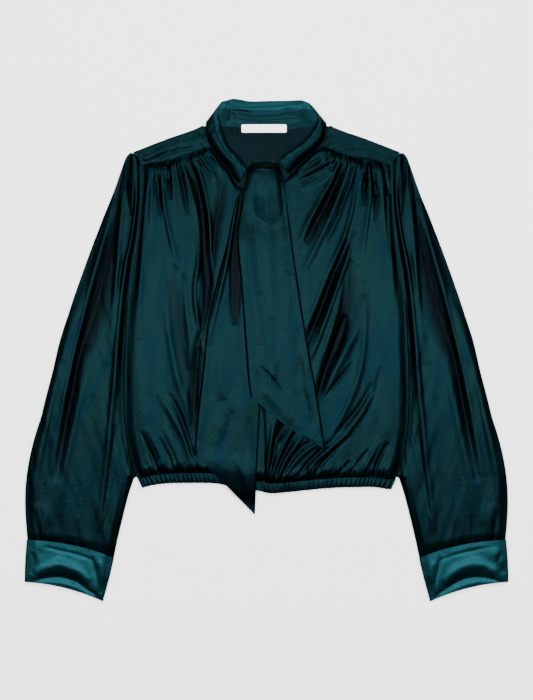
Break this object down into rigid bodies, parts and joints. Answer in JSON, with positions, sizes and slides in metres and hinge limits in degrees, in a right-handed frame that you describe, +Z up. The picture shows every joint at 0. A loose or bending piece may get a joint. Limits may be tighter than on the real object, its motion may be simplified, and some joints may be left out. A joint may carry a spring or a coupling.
{
  "type": "tie neck blouse",
  "caption": "Cropped long-sleeved satin blouse laid flat, with a gathered yoke, a tie neck in a knot, deep cuffs and a gathered elastic hem.",
  "frame": {"origin": "on the surface the blouse lies on, under the middle of the laid-out garment", "axes": "+Z up out of the surface, +Y from the hem towards the collar, +X to the viewer's right over the front"},
  "size_m": [0.6858, 0.7132, 0.0211],
  "materials": {
    "satin": "dark teal satin with a soft sheen",
    "satin_light": "lighter teal satin, brighter sheen",
    "label": "matt off-white woven tape, blank"
  },
  "bodies": {
    "root": {"back": "satin", "yoke": "satin", "front_left": "satin", "front_right": "satin", "casing_back": "satin", "casing_front_left": "satin", "casing_front_right": "satin", "sleeve_left": "satin", "sleeve_right": "satin", "cuff_left": "satin_light", "cuff_right": "satin_light", "collar": "satin_light", "knot": "satin", "tie_under": "satin", "tie_upper": "satin", "label": "label"}
  },
  "joints": []
}
